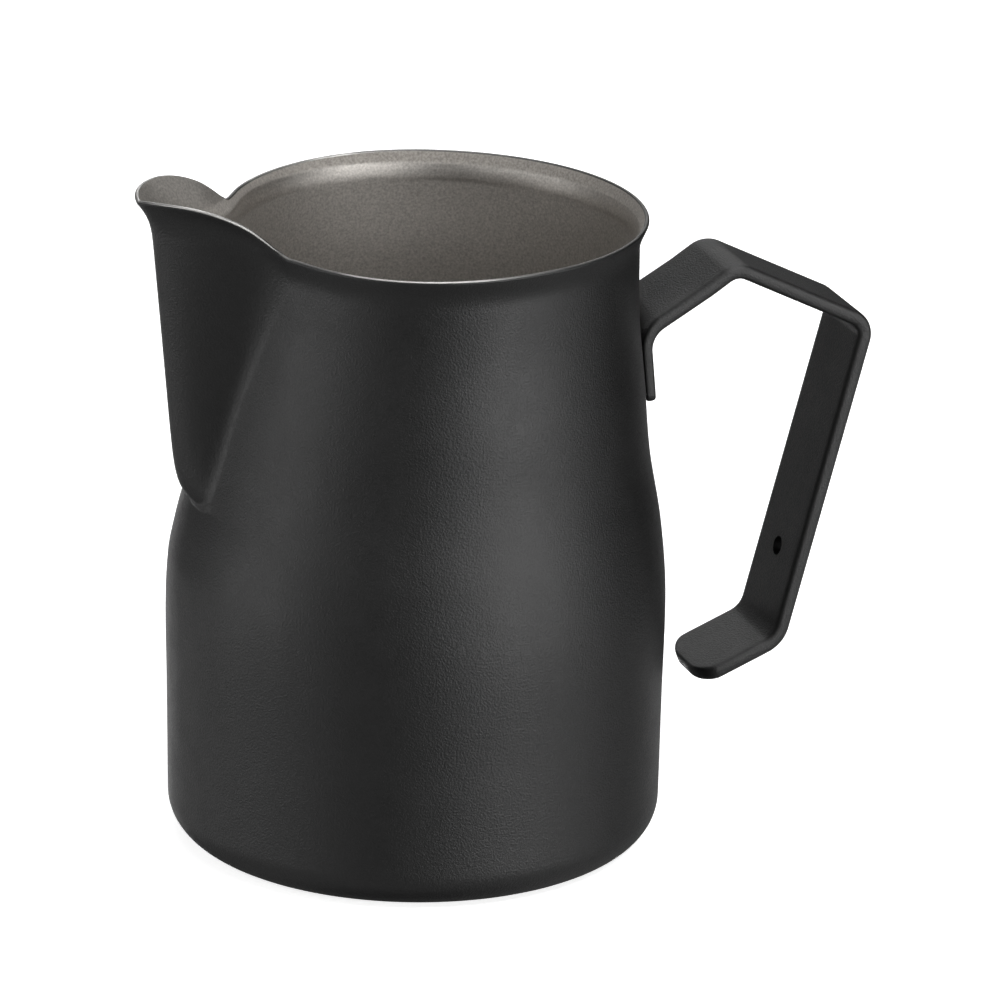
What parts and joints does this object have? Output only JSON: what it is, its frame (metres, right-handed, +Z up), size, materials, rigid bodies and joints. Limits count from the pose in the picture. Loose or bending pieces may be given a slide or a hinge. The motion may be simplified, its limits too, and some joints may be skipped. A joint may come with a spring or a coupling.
{
  "type": "milk frothing pitcher",
  "caption": "Round steel pitcher with a drawn-in neck, a long pressed pouring spout and an open bent-strap handle, matte black outside and bare steel inside.",
  "frame": {"origin": "centre of the flat resting face", "axes": "+Z up along the cup's axis, +X towards the handle, -X towards the spout, +Y across"},
  "size_m": [0.1296, 0.086, 0.118],
  "materials": {
    "cup_body": "matte black coating outside, bare satin steel inside and on the rim",
    "handle_strap": "matte black coating",
    "weld_spots": "fused steel"
  },
  "bodies": {
    "root": {"cup_body": "cup_body", "handle_strap": "handle_strap", "weld_spot_front": "weld_spots", "weld_spot_rear": "weld_spots"}
  },
  "joints": []
}
